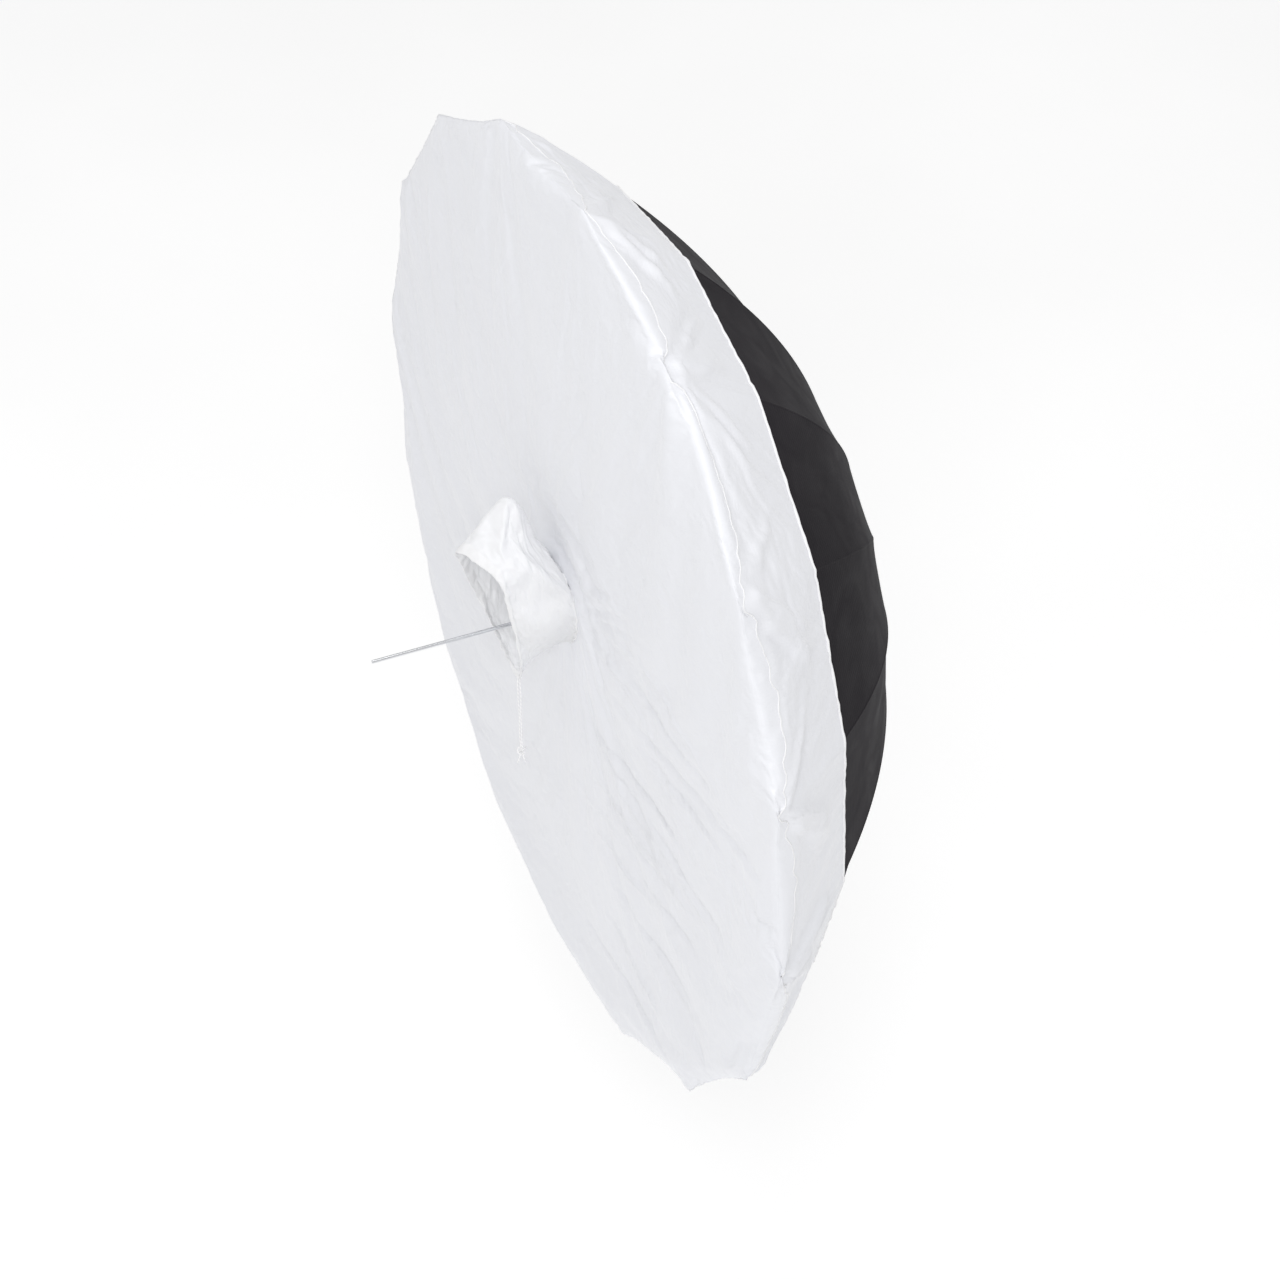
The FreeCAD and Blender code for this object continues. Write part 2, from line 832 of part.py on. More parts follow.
print(f"{len(SUB_PARTS)} sub-parts, rim plane at y = {rim_y:.2f}")
print(f"crown pivots at s = {crown_s:.2f}, bracket pins at r = {pin_r:.3f}, s = {pin_s:.3f}")
print(f"stretcher {chord:.2f} long, stretcher pivots at s = {runner_s:.2f}")
print(f"open angle {math.degrees(open_angle):.2f}")
print(f"runner travel {runner_travel:.2f}, catch at s = {catch_s:.2f}")
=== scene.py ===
import math
import bpy
import numpy as np
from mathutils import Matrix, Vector


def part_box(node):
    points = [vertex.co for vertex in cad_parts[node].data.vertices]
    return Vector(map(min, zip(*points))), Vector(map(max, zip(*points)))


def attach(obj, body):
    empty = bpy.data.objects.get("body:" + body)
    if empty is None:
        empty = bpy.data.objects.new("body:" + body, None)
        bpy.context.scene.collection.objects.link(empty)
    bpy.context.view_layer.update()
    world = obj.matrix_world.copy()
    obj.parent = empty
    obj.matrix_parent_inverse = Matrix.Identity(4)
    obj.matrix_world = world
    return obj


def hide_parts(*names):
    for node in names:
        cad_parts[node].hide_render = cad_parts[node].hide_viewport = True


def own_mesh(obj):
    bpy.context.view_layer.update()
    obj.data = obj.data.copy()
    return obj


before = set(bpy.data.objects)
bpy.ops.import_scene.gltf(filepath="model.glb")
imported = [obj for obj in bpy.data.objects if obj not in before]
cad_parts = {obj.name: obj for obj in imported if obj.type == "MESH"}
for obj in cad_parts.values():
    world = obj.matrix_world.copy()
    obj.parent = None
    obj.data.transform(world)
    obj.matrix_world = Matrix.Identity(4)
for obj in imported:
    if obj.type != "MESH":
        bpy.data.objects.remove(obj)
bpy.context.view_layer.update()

# ---------------------------------------------------------------- driving dimensions, metres

RIBS = 16
STEP = 2 * math.pi / RIBS
HALF = STEP / 2
FIRST_RIB = math.radians(15.9)  # from +X towards +Z
RADIUS = 1.060  # canopy at the rim, on a rib
DEPTH = 0.616
POWER = 2.317
RIM_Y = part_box("diffuser_front")[0][1] + 0.008
CANOPY_HOLE = 0.029
CANOPY_EDGE = 1.052
HEM_AT = 0.875  # canopy radius at the cover's hem
HOLE = 0.086  # cover's central hole, where the sleeve is sewn
HOLE_RISE = 0.022  # the hole's centre above the shaft, where the sleeve's weight and cut pull it
CORNER = 1.069  # cover's corners at the rib tips
COVER_FRONT = -0.0115
COVER_TURN = 0.075  # width over which the front panel curves back to the rim
COVER_LIFT = 0.0048  # cover over canopy
CELL = 0.013  # cloth mesh size
FOLD_LIMITS = (-0.001, 0.013)  # how far the band's folds go in and out, clear of the canopy
SEAM_RINGS = 3  # from the rim to the seam between front panel and band
SEAM_AT_RIB = -0.022  # the seam's shift from its ring at a rib tip
SEAM_BETWEEN = 0.024  # and halfway between two ribs
EDGE_INSET = 0.030  # canopy's edge cut back halfway between two ribs
SLACKEST = math.radians(-10)  # the cover hangs loosest over the rim here
RIM_PIN = 0.016  # half width of the strip of cloth that each rib tip holds
DRAPE_FRAMES = 30
SLEEVE_FRAMES = 24


def meridian(radius, lift=0.0):
    """(r, s) on the canopy's outer face at this radius, moved out along its normal."""
    share = radius / RADIUS
    slope = -DEPTH * POWER / RADIUS * share ** (POWER - 1)
    length = math.hypot(1, slope)
    return radius - lift * slope / length, DEPTH * (1 - share**POWER) + lift / length


def at(r, s, angle):
    """The point s behind the rim plane, r from the shaft, in the row frame."""
    return Vector((r * math.cos(angle), RIM_Y + s, r * math.sin(angle)))


def polygon_share(angle):
    """Radius of the sixteen-sided outline at this angle, over its corner radius."""
    off = (angle - FIRST_RIB) % STEP - HALF
    return math.cos(HALF) / math.cos(off)


# ---------------------------------------------------------------- mesh helpers


def new_piece(name, points, faces, smooth=True):
    mesh = bpy.data.meshes.new(name)
    mesh.from_pydata([tuple(p) for p in points], [], faces)
    mesh.update()
    mesh.polygons.foreach_set("use_smooth", [smooth] * len(mesh.polygons))
    piece = bpy.data.objects.new(name, mesh)
    bpy.context.scene.collection.objects.link(piece)
    return piece


def points_of(piece):
    co = np.empty(len(piece.data.vertices) * 3)
    piece.data.vertices.foreach_get("co", co)
    return co.reshape(-1, 3)


def faces_of(piece):
    return [tuple(p.vertices) for p in piece.data.polygons]


def evaluated(piece):
    """The piece's mesh with its modifiers applied."""
    graph = bpy.context.evaluated_depsgraph_get()
    return bpy.data.meshes.new_from_object(piece.evaluated_get(graph), depsgraph=graph)


def apply_modifiers(piece):
    mesh = evaluated(piece)
    old = piece.data
    piece.modifiers.clear()
    piece.data = mesh
    bpy.data.meshes.remove(old)


def zip_rings(inner, outer):
    """Triangles between two closed rings, each a list of (angle, vertex) in order."""
    turn = 2 * math.pi
    faces = []
    i = j = 0
    while i < len(inner) or j < len(outer):
        a = inner[i % len(inner)]
        b = outer[j % len(outer)]
        a_next = inner[(i + 1) % len(inner)]
        b_next = outer[(j + 1) % len(outer)]
        a_angle = a_next[0] + turn * ((i + 1) // len(inner))
        b_angle = b_next[0] + turn * ((j + 1) // len(outer))
        if j >= len(outer) or (i < len(inner) and a_angle <= b_angle + 1e-9):
            faces.append((a[1], b[1], a_next[1]))
            i += 1
        else:
            faces.append((a[1], b[1], b_next[1]))
            j += 1
    return faces


def tube(name, line, radius, sides=8, closed=True):
    """A round tube along a line of points."""
    line = [Vector(p) for p in line]
    count = len(line)
    points = []
    normal = None
    for i, p in enumerate(line):
        before = line[i - 1] if closed or i else line[0]
        after = line[(i + 1) % count] if closed or i < count - 1 else line[-1]
        heading = (after - before).normalized()
        if normal is None:
            normal = heading.orthogonal().normalized()
        normal = (normal - heading * normal.dot(heading)).normalized()
        side = heading.cross(normal)
        for k in range(sides):
            turn = 2 * math.pi * k / sides
            points.append(p + (normal * math.cos(turn) + side * math.sin(turn)) * radius)
    faces = []
    for i in range(count if closed else count - 1):
        a, b = i * sides, (i + 1) % count * sides
        for k in range(sides):
            n = (k + 1) % sides
            faces.append((a + k, b + k, b + n, a + n))
    if not closed:
        faces.append(tuple(range(sides)))
        faces.append(tuple(reversed(range((count - 1) * sides, count * sides))))
    return new_piece(name, points, faces)


# ---------------------------------------------------------------- cloth


def collider(piece, thickness=0.002, friction=5):
    """Makes the piece something that cloth rests on."""
    piece.modifiers.new("Collision", "COLLISION")
    piece.collision.thickness_outer = thickness
    piece.collision.cloth_friction = friction
    return piece


def run_cloth(piece, frames, pins, stretch, gravity=1.0, bending=0.05, mass=0.02, quality=6,
              tension=20.0, compression=10.0, loose=None, loose_stretch=0.0, colliding=True):
    """Drapes the piece, with some vertices pinned, and keeps the result.

    stretch is how much larger the cloth is cut than the space it fills, and loose is
    {vertex: share of loose_stretch} where it is cut larger still.
    """
    group = piece.vertex_groups.new(name="pins")
    for weight, chosen in pins:
        group.add(chosen, weight, "REPLACE")
    cloth = piece.modifiers.new("Cloth", "CLOTH")
    settings = cloth.settings
    settings.quality = quality
    settings.mass = mass
    settings.air_damping = 2.0
    settings.tension_stiffness = tension
    settings.compression_stiffness = compression
    settings.shear_stiffness = tension / 3
    settings.bending_stiffness = bending
    settings.tension_damping = 8
    settings.compression_damping = 8
    settings.shear_damping = 8
    settings.bending_damping = 0.5
    settings.vertex_group_mass = "pins"
    settings.pin_stiffness = 4
    settings.shrink_min = -stretch
    if loose is not None:
        shrink = piece.vertex_groups.new(name="loose")
        for vertex, share in loose.items():
            shrink.add([vertex], share, "REPLACE")
        settings.vertex_group_shrink = "loose"
        settings.shrink_max = -loose_stretch
    settings.effector_weights.gravity = gravity
    cloth.collision_settings.use_collision = colliding
    cloth.collision_settings.distance_min = 0.002
    cloth.collision_settings.collision_quality = 2
    cloth.point_cache.frame_start = 1
    cloth.point_cache.frame_end = frames
    scene = bpy.context.scene
    scene.frame_start = 1
    scene.frame_end = frames
    for number in range(1, frames + 1):
        scene.frame_set(number)
    apply_modifiers(piece)
    piece.vertex_groups.clear()


# ---------------------------------------------------------------- diffuser cover


def from_rib(angle):
    """Angle from the nearest rib, and 0 at that rib to 1 halfway to the next."""
    off = (angle - FIRST_RIB + HALF) % STEP - HALF
    return off, 1 - (1 - abs(off) / HALF) ** 2


def cover_profile():
    """(r, s) of each ring of the cover on a rib, from hole to hem, and the rim ring's number."""
    flat = CORNER - 0.012
    count = round((flat - HOLE) / CELL)
    stations = []
    for i in range(count + 1):
        r = HOLE + (flat - HOLE) * i / count
        back = max(0, (r - flat + COVER_TURN) / COVER_TURN) ** 2
        stations.append((r, COVER_FRONT + 0.004 * back))
    stations.append((CORNER, -0.003))
    edge = len(stations) - 1
    radius = RADIUS
    while radius > HEM_AT:
        stations.append(meridian(radius, COVER_LIFT))
        share = radius / RADIUS
        slope = DEPTH * POWER / RADIUS * share ** (POWER - 1)
        radius -= CELL / math.hypot(1, slope)
    stations.append(meridian(HEM_AT, COVER_LIFT))
    return np.array(stations), edge


def rounded(profile, edge):
    """The profile between two ribs, where nothing holds the corner out."""
    soft = profile.copy()
    low, high = edge - 7, edge + 8
    for _ in range(8):
        beside = soft[low - 1 : high - 1] + 2 * soft[low:high] + soft[low + 1 : high + 1]
        soft[low:high] = beside / 4
    return soft


def slackness(angle):
    """How loose the cover is over the rim, from 0 on the far side to 1 low on the near side."""
    near = 0.5 + 0.5 * math.cos(angle - SLACKEST)
    return 0.1 + 0.9 * min(1, 1.3 * near)


def seam_shift(angle, kinks):
    """How far towards the hem the seam strays from its ring."""
    off, between = from_rib(angle)
    tall, phase = kinks[round((angle - off - FIRST_RIB) / STEP) % RIBS]
    kink = tall * math.sin(off * RADIUS / 0.0085 + phase) * math.exp(-((off * RADIUS / 0.05) ** 2))
    sway = 0.0045 * slackness(angle) * (math.sin(83 * angle) + 0.6 * math.sin(131 * angle + 1))
    return SEAM_AT_RIB + (SEAM_BETWEEN - SEAM_AT_RIB) * between + kink + sway


def hole_rise(radius):
    """The front panel's shift upwards around its hole."""
    return HOLE_RISE * max(0, 1 - (radius - HOLE) / 0.25)


def make_cover():
    """The whole cover, draped, with its rings and the numbers of the rim's ring and the seam's."""
    profile, edge = cover_profile()
    soft = rounded(profile, edge)
    seam = edge + SEAM_RINGS
    random = np.random.default_rng(7)
    kinks = [(random.uniform(0.006, 0.012), random.uniform(0, 2 * math.pi)) for _ in range(RIBS)]
    numbers = np.arange(len(profile))
    slides = np.interp(numbers, (edge, seam, seam + 10), (0, 1, 0)) / CELL
    points, rings = [], []
    for number, (r, _) in enumerate(profile):
        count = RIBS * max(2, round(2 * math.pi * r / CELL / RIBS))
        ring = []
        for k in range(count):
            angle = FIRST_RIB + 2 * math.pi * k / count
            ring.append((angle, len(points)))
            place = number + slides[number] * seam_shift(angle, kinks)
            softness = from_rib(angle)[1] * (0.15 + 0.85 * slackness(angle))
            shape = profile + (soft - profile) * softness
            r_here = np.interp(place, numbers, shape[:, 0])
            s_here = np.interp(place, numbers, shape[:, 1])
            spot = at(r_here * polygon_share(angle), s_here, angle)
            spot.z += hole_rise(r_here)
            points.append(spot)
        rings.append(ring)
    faces = []
    for near, far in zip(rings, rings[1:]):
        faces += zip_rings(near, far)
    jitter = random.normal(0, 0.0006, (len(points), 3))
    points = [p + Vector(j) for p, j in zip(points, jitter)]
    cover = new_piece("cover", points, faces)

    def near_rib(ring, width):
        return [vertex for angle, vertex in ring if abs(from_rib(angle)[0]) * RADIUS < width]

    pins = [(1.0, [v for _, v in rings[0]]), (1.0, [v for _, v in rings[-1]])]
    pins.append((1.0, near_rib(rings[edge], RIM_PIN)))
    pins.append((1.0, near_rib(rings[edge - 1], RIM_PIN)))
    canopy = cover_collider()
    loose = {}
    for ring in rings[edge - 3 :]:
        for angle, vertex in ring:
            loose[vertex] = slackness(angle)
    run_cloth(cover, DRAPE_FRAMES, pins, stretch=0.006, gravity=0.6, loose=loose,
              loose_stretch=0.06)
    bpy.data.objects.remove(canopy)
    return cover, rings, edge, seam


def cover_collider():
    """The canopy's edge and back under the cover, as a closed wedge for the cloth to rest on."""
    lip = COVER_FRONT + 0.005
    front = [(0.82, lip + 0.004), (0.95, lip), (1.030, lip), (1.048, lip + 0.001)]
    back = (1.0605, 1.05, 1.03, 1.01, 0.99, 0.95, 0.91, 0.86, 0.8)
    points, faces = [], []
    around = RIBS * 6
    for number in range(len(front) + len(back)):
        for k in range(around):
            angle = FIRST_RIB + 2 * math.pi * k / around
            between = from_rib(angle)[1]
            if number < len(front):
                r, s = front[number]
                cut = EDGE_INSET * between * max(0, (r - 0.82) / 0.24)
                place = (r - cut, s + 0.6 * cut)
            else:
                r = back[number - len(front)]
                place = meridian(r - edge_cut(r, between))
            points.append(at(place[0] * polygon_share(angle), place[1], angle))
    for i in range(len(front) + len(back) - 1):
        for k in range(around):
            n = (k + 1) % around
            a, b = i * around, (i + 1) * around
            faces.append((a + k, b + k, b + n, a + n))
    return collider(new_piece("canopy_collider", points, faces))


def edge_cut(radius, between):
    """How far the canopy's cloth is drawn back; between is 0 on a rib and 1 halfway."""
    return EDGE_INSET * between * max(0, (radius - 0.90) / 0.15) ** 2


# ---------------------------------------------------------------- materials


class Nodes:
    """A short way to write a material's node tree."""

    def __init__(self, name):
        self.material = bpy.data.materials.new(name)
        self.material.use_nodes = True
        self.tree = self.material.node_tree
        self.shader = self.tree.nodes["Principled BSDF"]
        self.place = self.add("ShaderNodeTexCoord").outputs["Object"]

    def add(self, kind, **settings):
        node = self.tree.nodes.new(kind)
        for key, value in settings.items():
            setattr(node, key, value)
        return node

    def link(self, a, b):
        self.tree.links.new(a, b)

    def stretched(self, scale):
        mapping = self.add("ShaderNodeMapping")
        mapping.inputs["Scale"].default_value = scale
        self.link(self.place, mapping.inputs["Vector"])
        return mapping.outputs["Vector"]

    def noise(self, scale, detail=3.0, vector=None, roughness=0.5, distortion=0.0):
        node = self.add("ShaderNodeTexNoise")
        node.inputs["Scale"].default_value = scale
        node.inputs["Detail"].default_value = detail
        node.inputs["Roughness"].default_value = roughness
        node.inputs["Distortion"].default_value = distortion
        self.link(vector or self.place, node.inputs["Vector"])
        return node.outputs["Fac"]

    def ramp(self, value, low, high, start=0.3, end=0.7):
        """Between two colours as the value goes from start to end."""
        node = self.add("ShaderNodeValToRGB")
        node.color_ramp.elements[0].position = start
        node.color_ramp.elements[1].position = end
        node.color_ramp.elements[0].color = (*low, 1)
        node.color_ramp.elements[1].color = (*high, 1)
        self.link(value, node.inputs["Fac"])
        return node.outputs["Color"]

    def span(self, value, low, high, start=0.3, end=0.7):
        """Between two numbers as the value goes from start to end."""
        node = self.add("ShaderNodeMapRange")
        numbers = {"From Min": start, "From Max": end, "To Min": low, "To Max": high}
        for key, number in numbers.items():
            node.inputs[key].default_value = number
        self.link(value, node.inputs["Value"])
        return node.outputs["Result"]

    def weave(self, pitch):
        """Warp and weft threads as a height, in three directions so that it needs no UVs."""
        heights = []
        for direction in ("X", "Y", "Z"):
            wave = self.add("ShaderNodeTexWave", bands_direction=direction)
            wave.inputs["Scale"].default_value = 1 / pitch / 20
            wave.inputs["Distortion"].default_value = 0.4
            wave.inputs["Detail"].default_value = 0.0
            self.link(self.place, wave.inputs["Vector"])
            heights.append(wave.outputs["Fac"])
        first = self.add("ShaderNodeMath", operation="MULTIPLY")
        self.link(heights[0], first.inputs[0])
        self.link(heights[2], first.inputs[1])
        both = self.add("ShaderNodeMath", operation="ADD")
        self.link(first.outputs[0], both.inputs[0])
        self.link(heights[1], both.inputs[1])
        return both.outputs[0]

    def bump(self, height, strength, distance, before=None):
        node = self.add("ShaderNodeBump")
        node.inputs["Strength"].default_value = strength
        node.inputs["Distance"].default_value = distance
        self.link(height, node.inputs["Height"])
        if before is not None:
            self.link(before, node.inputs["Normal"])
        return node.outputs["Normal"]

    def let_through(self, colour, share):
        """Thin cloth: this share of the light comes out on the other side."""
        thin = self.add("ShaderNodeBsdfTranslucent")
        both = self.add("ShaderNodeMixShader")
        both.inputs["Fac"].default_value = share
        self.link(colour, thin.inputs["Color"])
        self.link(self.shader.outputs["BSDF"], both.inputs[1])
        self.link(thin.outputs["BSDF"], both.inputs[2])
        self.link(both.outputs["Shader"], self.tree.nodes["Material Output"].inputs["Surface"])

    def finish(self, colour, roughness, normal=None, **sockets):
        self.link(colour, self.shader.inputs["Base Color"])
        self.link(roughness, self.shader.inputs["Roughness"])
        if normal is not None:
            self.link(normal, self.shader.inputs["Normal"])
        for key, value in sockets.items():
            self.shader.inputs[key.replace("_", " ")].default_value = value
        return self.material


def satin_white(name, low, high, crease=0.5, through=0.0):
    """White satin nylon: fine weave, faint creases from being packed, and a soft gloss.

    through is the share of the light that passes through the cloth.
    """
    n = Nodes(name)
    tone = n.noise(1.6, 4.0)
    creases = n.noise(3.2, 6.0, n.stretched((1.0, 1.0, 2.4)), 0.6, 0.8)
    weave = n.bump(n.weave(0.0012), 0.12, 0.0004)
    folded = n.bump(creases, crease, 0.012, weave)
    colour = n.ramp(tone, low, high)
    if through:
        n.let_through(colour, through)
    return n.finish(
        colour,
        n.span(creases, 0.36, 0.52),
        folded,
        Sheen_Weight=0.25,
        Sheen_Roughness=0.4,
        Specular_IOR_Level=0.5,
    )


def black_nylon():
    """The canopy's outer face: taut black nylon with a slight sheen."""
    n = Nodes("canopy_black")
    tone = n.noise(2.3, 5.0)
    puckers = n.noise(14.0, 4.0, n.stretched((1.0, 0.35, 1.0)), 0.55, 0.6)
    weave = n.bump(n.weave(0.0011), 0.25, 0.0004)
    return n.finish(
        n.ramp(tone, (0.013, 0.0115, 0.014), (0.019, 0.0165, 0.020)),
        n.span(puckers, 0.58, 0.7),
        n.bump(puckers, 0.15, 0.003, weave),
        Sheen_Weight=0.01,
        Sheen_Roughness=0.4,
        Specular_IOR_Level=0.05,
    )


def silver_lining():
    """The canopy's inner face: silver-white reflecting coating."""
    n = Nodes("canopy_lining")
    return n.finish(
        n.ramp(n.noise(5.0, 4.0), (0.66, 0.67, 0.69), (0.74, 0.745, 0.76)),
        n.span(n.noise(20.0, 3.0), 0.3, 0.45),
        n.bump(n.weave(0.0012), 0.3, 0.0004),
        Metallic=0.35,
    )


def metal(name, low, high, rough, grain=(40.0, 1.0, 40.0), strength=0.05):
    """Drawn or plated metal with faint marks along its grain."""
    n = Nodes(name)
    marks = n.noise(30.0, 5.0, n.stretched(grain), 0.6)
    return n.finish(
        n.ramp(marks, low, high),
        n.span(marks, *rough),
        n.bump(marks, strength, 0.0004),
        Metallic=1.0,
    )


def moulded(name, low, high, rough=(0.42, 0.55)):
    """Injection-moulded plastic with a fine spark-eroded grain."""
    n = Nodes(name)
    grain = n.noise(900.0, 2.0)
    return n.finish(
        n.ramp(n.noise(12.0, 3.0), low, high),
        n.span(grain, *rough),
        n.bump(grain, 0.15, 0.0002),
    )


def glass_fibre():
    """The rib rods: pulled glass fibre, dark, with lengthwise strands."""
    n = Nodes("rib_fibre")
    strands = n.noise(250.0, 3.0, n.stretched((1.0, 0.08, 1.0)))
    return n.finish(
        n.ramp(strands, (0.02, 0.02, 0.022), (0.05, 0.05, 0.053)),
        n.span(strands, 0.3, 0.45),
        n.bump(strands, 0.2, 0.0002),
    )


def twisted_cord():
    """The drawstring: a white twisted cord."""
    n = Nodes("cord_white")
    wave = n.add("ShaderNodeTexWave", bands_direction="DIAGONAL")
    wave.inputs["Scale"].default_value = 55.0
    wave.inputs["Distortion"].default_value = 1.0
    n.link(n.place, wave.inputs["Vector"])
    twist = wave.outputs["Fac"]
    return n.finish(
        n.ramp(twist, (0.86, 0.86, 0.87), (0.94, 0.94, 0.94)),
        n.span(twist, 0.75, 0.6),
        n.bump(twist, 0.5, 0.0008),
    )


# ---------------------------------------------------------------- cover pieces


def crease_field(points, creases):
    """Height of narrow folds at these points, which share the folds' two coordinates."""
    height = np.zeros(len(points))
    for start, end, tall, wide in creases:
        start, end = np.array(start), np.array(end)
        along = end - start
        share = ((points - start) @ along) / (along @ along)
        inside = np.clip(share, 0, 1)
        away = np.linalg.norm(points - start - inside[:, None] * along, axis=1)
        fade = np.sin(np.pi * np.clip(inside, 0.02, 0.98)) ** 0.6
        height += tall * fade * np.exp(-((away / wide) ** 2))
    return height


def polar(radius, degrees):
    return radius * math.cos(math.radians(degrees)), radius * math.sin(math.radians(degrees))


def panel_creases(random):
    """(start, end, height, width) of the front panel's folds, in (x, z).

    They fan out from the sleeve, drag to the near rib tips, and cross where the cover was folded.
    """
    creases = [
        ((0.036, 0.121), (0.40, 0.27), 0.006, 0.010),
        ((0.09, 0.07), (0.52, 0.20), 0.005, 0.010),
        ((0.175, -0.033), (1.0, 0.10), -0.006, 0.010),
        ((0.494, -0.228), (0.95, -0.256), 0.006, 0.010),
    ]

    def add(start, end, tall, wide):
        if math.hypot(*start) < 1.02 and math.hypot(*end) < 1.02:
            creases.append((start, end, random.choice([-1, 1]) * tall, wide))

    for _ in range(16):
        heading = random.uniform(-75, 60)
        near = HOLE + random.uniform(0.02, 0.08)
        far = near + random.uniform(0.12, 0.42)
        add(polar(near, heading), polar(far, heading + random.uniform(-10, 10)), 0.003, 0.008)
    for _ in range(26):
        x, z = random.uniform(0.05, 0.55), random.uniform(-0.85, 0.3)
        long = random.uniform(0.25, 0.55)
        tilt = math.radians(random.uniform(-9, 9))
        end = (x + long * math.cos(tilt), z + long * math.sin(tilt))
        add((x, z), end, random.uniform(0.003, 0.006), 0.0065)
    for _ in range(24):
        x, z = random.uniform(-0.8, 0.6), random.uniform(-0.1, 0.9)
        long = random.uniform(0.08, 0.3)
        tilt = math.radians(random.uniform(20, 110))
        end = (x + long * math.cos(tilt), z + long * math.sin(tilt))
        add((x, z), end, random.uniform(0.002, 0.0045), 0.010)
    return creases


def band_folds(random):
    """Folds of the band that run slanting from the rib tips to the hem, in (around, back)."""
    folds = []
    for number in range(RIBS):
        angle = (FIRST_RIB + STEP * number + math.pi) % (2 * math.pi) - math.pi
        loose = 0.35 + 0.65 * slackness(angle)
        for _ in range(8):
            start = angle * RADIUS + random.uniform(-0.03, 0.03)
            end = start + random.choice([-1, 1]) * random.uniform(0.05, 0.24)
            if abs(end) < math.pi * RADIUS:  # folds would break at the seam of the angles
                tall = loose * random.choice([-0.1, 1, 1]) * random.uniform(0.006, 0.012)
                ends = ((start, random.uniform(0.02, 0.06)), (end, random.uniform(0.17, 0.24)))
                folds.append((*ends, tall, random.uniform(0.011, 0.020)))
    return folds


def split_triangles(points, faces):
    """Each triangle as four."""
    points = list(points)
    halves = {}

    def half(a, b):
        key = (a, b) if a < b else (b, a)
        if key not in halves:
            halves[key] = len(points)
            points.append((points[a] + points[b]) / 2)
        return halves[key]

    out = []
    for a, b, c in faces:
        ab, bc, ca = half(a, b), half(b, c), half(c, a)
        out += [(a, ab, ca), (ab, b, bc), (ca, bc, c), (ab, bc, ca)]
    return np.array(points), out


def part_of_cover(name, points, faces, ring_of, keep):
    """A piece made of the cover's faces that keep(ring) accepts for all three corners."""
    chosen = [f for f in faces if all(keep(ring_of[v]) for v in f)]
    used = sorted({v for f in chosen for v in f})
    index = {v: i for i, v in enumerate(used)}
    return new_piece(name, points[used], [tuple(index[v] for v in f) for f in chosen]), used


def make_cover_pieces(white, white_band, white_trim):
    """The cover cut into front panel and band, with their folds, the seam's piping and the hem."""
    cover, rings, edge, seam = make_cover()
    points = points_of(cover)
    faces = faces_of(cover)
    ring_of = np.empty(len(points), int)
    for number, ring in enumerate(rings):
        for _, vertex in ring:
            ring_of[vertex] = number
    random = np.random.default_rng(11)

    front, _ = part_of_cover("front_panel", points, faces, ring_of, lambda ring: ring <= seam)
    fine, split = split_triangles(points_of(front), faces_of(front))
    bpy.data.objects.remove(front)
    radius = np.hypot(fine[:, 0], fine[:, 2])
    inside = np.clip((radius - HOLE - HOLE_RISE) / 0.03, 0, 1)
    inside *= np.clip((1.03 - radius) / 0.05, 0, 1)
    fine[:, 1] -= inside * crease_field(fine[:, [0, 2]], panel_creases(random))
    front = new_piece("diffuser_front_panel", fine, split)
    front.data.materials.append(white)
    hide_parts("diffuser_front")

    side, used = part_of_cover("side", points, faces, ring_of, lambda ring: ring >= seam)
    back = (ring_of[used] - edge) * CELL
    normals = np.empty(len(used) * 3)
    side.data.vertex_normals.foreach_get("vector", normals)
    known = np.column_stack((points_of(side), back, normals.reshape(-1, 3)))
    fine, split = split_triangles(known, faces_of(side))
    bpy.data.objects.remove(side)
    around = np.arctan2(fine[:, 2], fine[:, 0]) * RADIUS
    height = crease_field(np.column_stack((around, fine[:, 3])), band_folds(random))
    height = np.clip(height, *FOLD_LIMITS)
    held = np.interp(fine[:, 3], (SEAM_RINGS * CELL, 0.07, 0.20, 0.24), (0, 1, 1, 0))
    outward = fine[:, 4:] * np.sign((fine[:, [4, 6]] * fine[:, [0, 2]]).sum(axis=1))[:, None]
    band = new_piece("diffuser_band_panel", fine[:, :3] + outward * (height * held)[:, None], split)
    band.data.materials.append(white_band)
    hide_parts("diffuser_band")

    piping = tube("diffuser_seam", points[[v for _, v in rings[seam]]], 0.0018, 6)
    hem = hem_tube("diffuser_hem", points[[v for _, v in rings[-1]]])
    for piece in (piping, hem):
        piece.data.materials.append(white_trim)
    bpy.data.objects.remove(cover)
    for piece in (front, band, piping, hem):
        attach(piece, "cover")


def hem_tube(name, line):
    """The hem with its elastic: an oval roll, gathered a little, lying on the canopy."""
    hem = tube(name, line, 0.0032, 10)
    co = points_of(hem)
    count = len(line)
    for i in range(count):
        gather = 1 + 0.16 * math.sin(2 * math.pi * i * 0.31) * math.sin(0.7 * i)
        middle = np.array(line[i])
        co[i * 10 : i * 10 + 10] = middle + (co[i * 10 : i * 10 + 10] - middle) * gather
    hem.data.vertices.foreach_set("co", co.ravel())
    hem.data.update()
    return hem


# ---------------------------------------------------------------- sleeve

AROUND = 96
ALONG = 40
